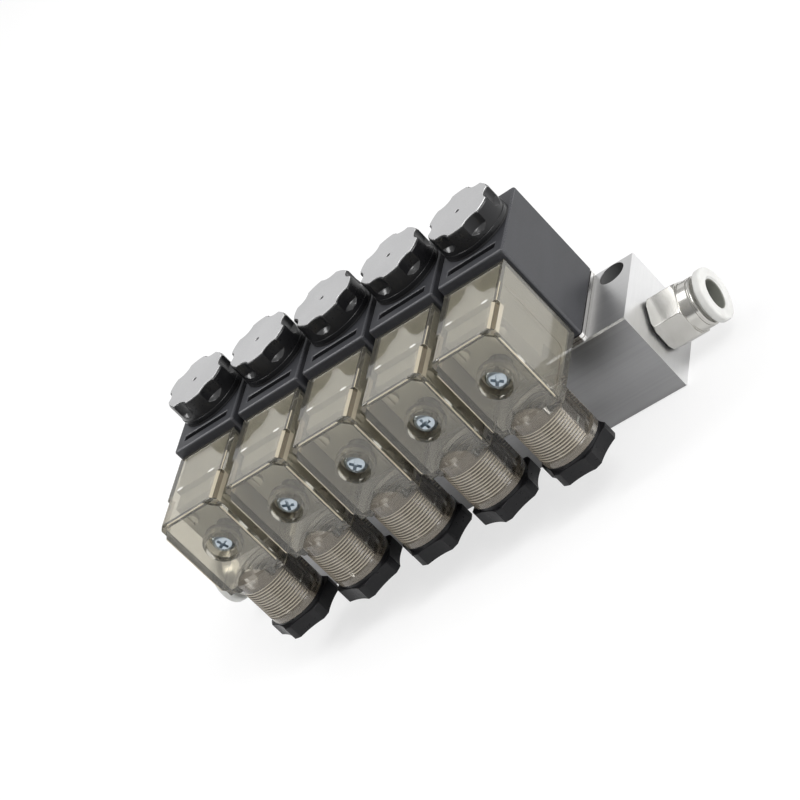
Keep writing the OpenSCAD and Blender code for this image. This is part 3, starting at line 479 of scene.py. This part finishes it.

# Painted sheen: the side walls take more milky cover, fading out towards the bottom.
sheen_foot, sheen_top = 0.0325, 0.0405
cover = 0.10 + 0.12 * on_side * smoky.ramp(height, sheen_foot, sheen_top)
cover = cover + 0.42 * in_gland * (1.0 - on_side) + 0.25 * crest
cover = cover + 0.5 * bright + 0.4 * dark_line + 0.6 * on_glint
milky = smoky.tint(in_gland, (0.40, 0.38, 0.32), (0.235, 0.205, 0.165))
milky = smoky.tint(dark_line, milky, (0.13, 0.10, 0.06))
milky = smoky.tint(crest, milky, (0.46, 0.41, 0.33))
milky = smoky.tint(bright, milky, (0.76, 0.68, 0.52))
milky = smoky.tint(on_glint, milky, (0.95, 0.93, 0.88))
smoky.blend_in(cover, Base_Color=milky, Roughness=0.26)
dress([f"connector_housing_{n}" for n in STATIONS], smoky, edge=0.0003, sharp=25.0)


# Gland nuts: black nylon pressure nuts with six hollow sides, screwed up into the gland tube by hand. Glossy
# mouldings with a slightly scuffed skin.

nut_nylon = Finish("nut_nylon", Specular_IOR_Level=0.22)
scuff = nut_nylon.noise(700.0, 4.0)
nut_nylon.paint(
    Base_Color=nut_nylon.tint(scuff, (0.006, 0.006, 0.007), (0.012, 0.012, 0.013)),
    Roughness=0.22 + 0.16 * scuff,
)
nut_nylon.emboss(scuff, 0.00001)
dress([f"gland_nut_{n}" for n in STATIONS], nut_nylon, edge=0.0003, steps=3)


# Photographer's table: a pale floor that stays near white where nothing shades it, and a broad sky that grows
# lighter upwards and to the right. A large soft key stands at the right; soft boxes hang overhead, at the
# fitting's end and, weaker, behind the bar, and a small one at the upper left lights the knobs and painted glints.

paper = Finish("white_paper", Roughness=0.9, Specular_IOR_Level=0.1)
pulp = paper.noise(900.0, 3.0)
paper.paint(Base_Color=paper.tint(pulp, (0.91, 0.91, 0.91), (0.93, 0.93, 0.93)))
seen = [paper.add("LightPath", {}, {}, f"Is {kind} Ray") for kind in ("Camera", "Glossy", "Transmission")]
glow = paper.add("Emission", {}, {"Color": (1.0, 1.0, 1.0), "Strength": 1.0})
full_share, mirrored_part = 0.7, 0.22
share = full_share * seen[0].math("MAXIMUM", mirrored_part * seen[1]).math("MAXIMUM", seen[2])
own = Field(paper, paper.shader.outputs[0])
lit = paper.add("MixShader", {}, {0: share, 1: own, 2: glow})
paper.feed(paper.tree.nodes["Material Output"].inputs["Surface"], lit)

table = bpy.data.meshes.new("table")
reach = 3.0
corners = [(-reach, -reach, 0), (reach, -reach, 0), (reach, reach, 0), (-reach, reach, 0)]
table.from_pydata(corners, [], [(0, 1, 2, 3)])
table.materials.append(paper.material)
floor = bpy.data.objects.new("table", table)
bpy.context.scene.collection.objects.link(floor)


class Sky(Finish):
    """The studio around the table, built with the same methods as a finish."""

    def __init__(self, name):
        self.world = bpy.data.worlds.new(name)
        self.world.use_nodes = True
        self.tree = self.world.node_tree
        self.shader = self.tree.nodes["Background"]

    def towards(self, axis):
        way = self.add("TexCoord", {}, {}, "Generated")
        return self.add("SeparateXYZ", {}, {0: way}, axis)


sky = Sky("studio")
upper = sky.ramp(sky.towards(2), 0.15, 0.85)
right = sky.ramp(sky.towards(0), -0.6, 0.9)
sky.paint(Color=(1.0, 1.0, 1.0), Strength=0.20 + 0.34 * upper + 0.30 * right)
bpy.context.scene.world = sky.world


aim = Vector((0.0, -0.02, 0.03))


def lamp(kind, name, place, power, **settings):
    light = bpy.data.lights.new(name, kind)
    light.energy = power
    for setting, value in settings.items():
        setattr(light, setting, value)
    stand = bpy.data.objects.new(name, light)
    stand.location = place
    stand.rotation_euler = (aim - Vector(place)).to_track_quat("-Z", "Y").to_euler()
    bpy.context.scene.collection.objects.link(stand)


lamp("SUN", "key", (0.62, -0.30, 0.72), 1.35, angle=math.radians(32.0))
lamp("AREA", "top_box", (-0.31, 0.05, 0.80), 1.8, size=0.5)
lamp("AREA", "end_box", (0.80, 0.10, 0.22), 1.6, size=0.4)
lamp("AREA", "back_box", (-0.42, 0.66, 0.42), 0.45, size=0.5)
lamp("AREA", "spark", (-0.51, -0.22, 0.74), 1.5, size=0.26)

lens = bpy.data.cameras.new("camera")
lens.sensor_width = 36.0
focal_length, picture_width = 2693.14, 800
lens.lens = focal_length / picture_width * lens.sensor_width
lens.clip_start = 0.01
camera = bpy.data.objects.new("camera", lens)
seen_right = Vector((0.7472, 0.1409, -0.6495))
seen_ahead = Vector((-0.4881, 0.7796, -0.3924)).normalized()
seen_right = (seen_right - seen_right.dot(seen_ahead) * seen_ahead).normalized()
seen_up = seen_right.cross(seen_ahead)
turn = Matrix((seen_right, seen_up, -seen_ahead)).transposed()
stand_point = (0.356485, -0.577877, 0.322177)
camera.matrix_world = Matrix.Translation(stand_point) @ turn.to_4x4()
bpy.context.scene.collection.objects.link(camera)
bpy.context.scene.camera = camera
bpy.context.scene.view_settings.view_transform = "Standard"
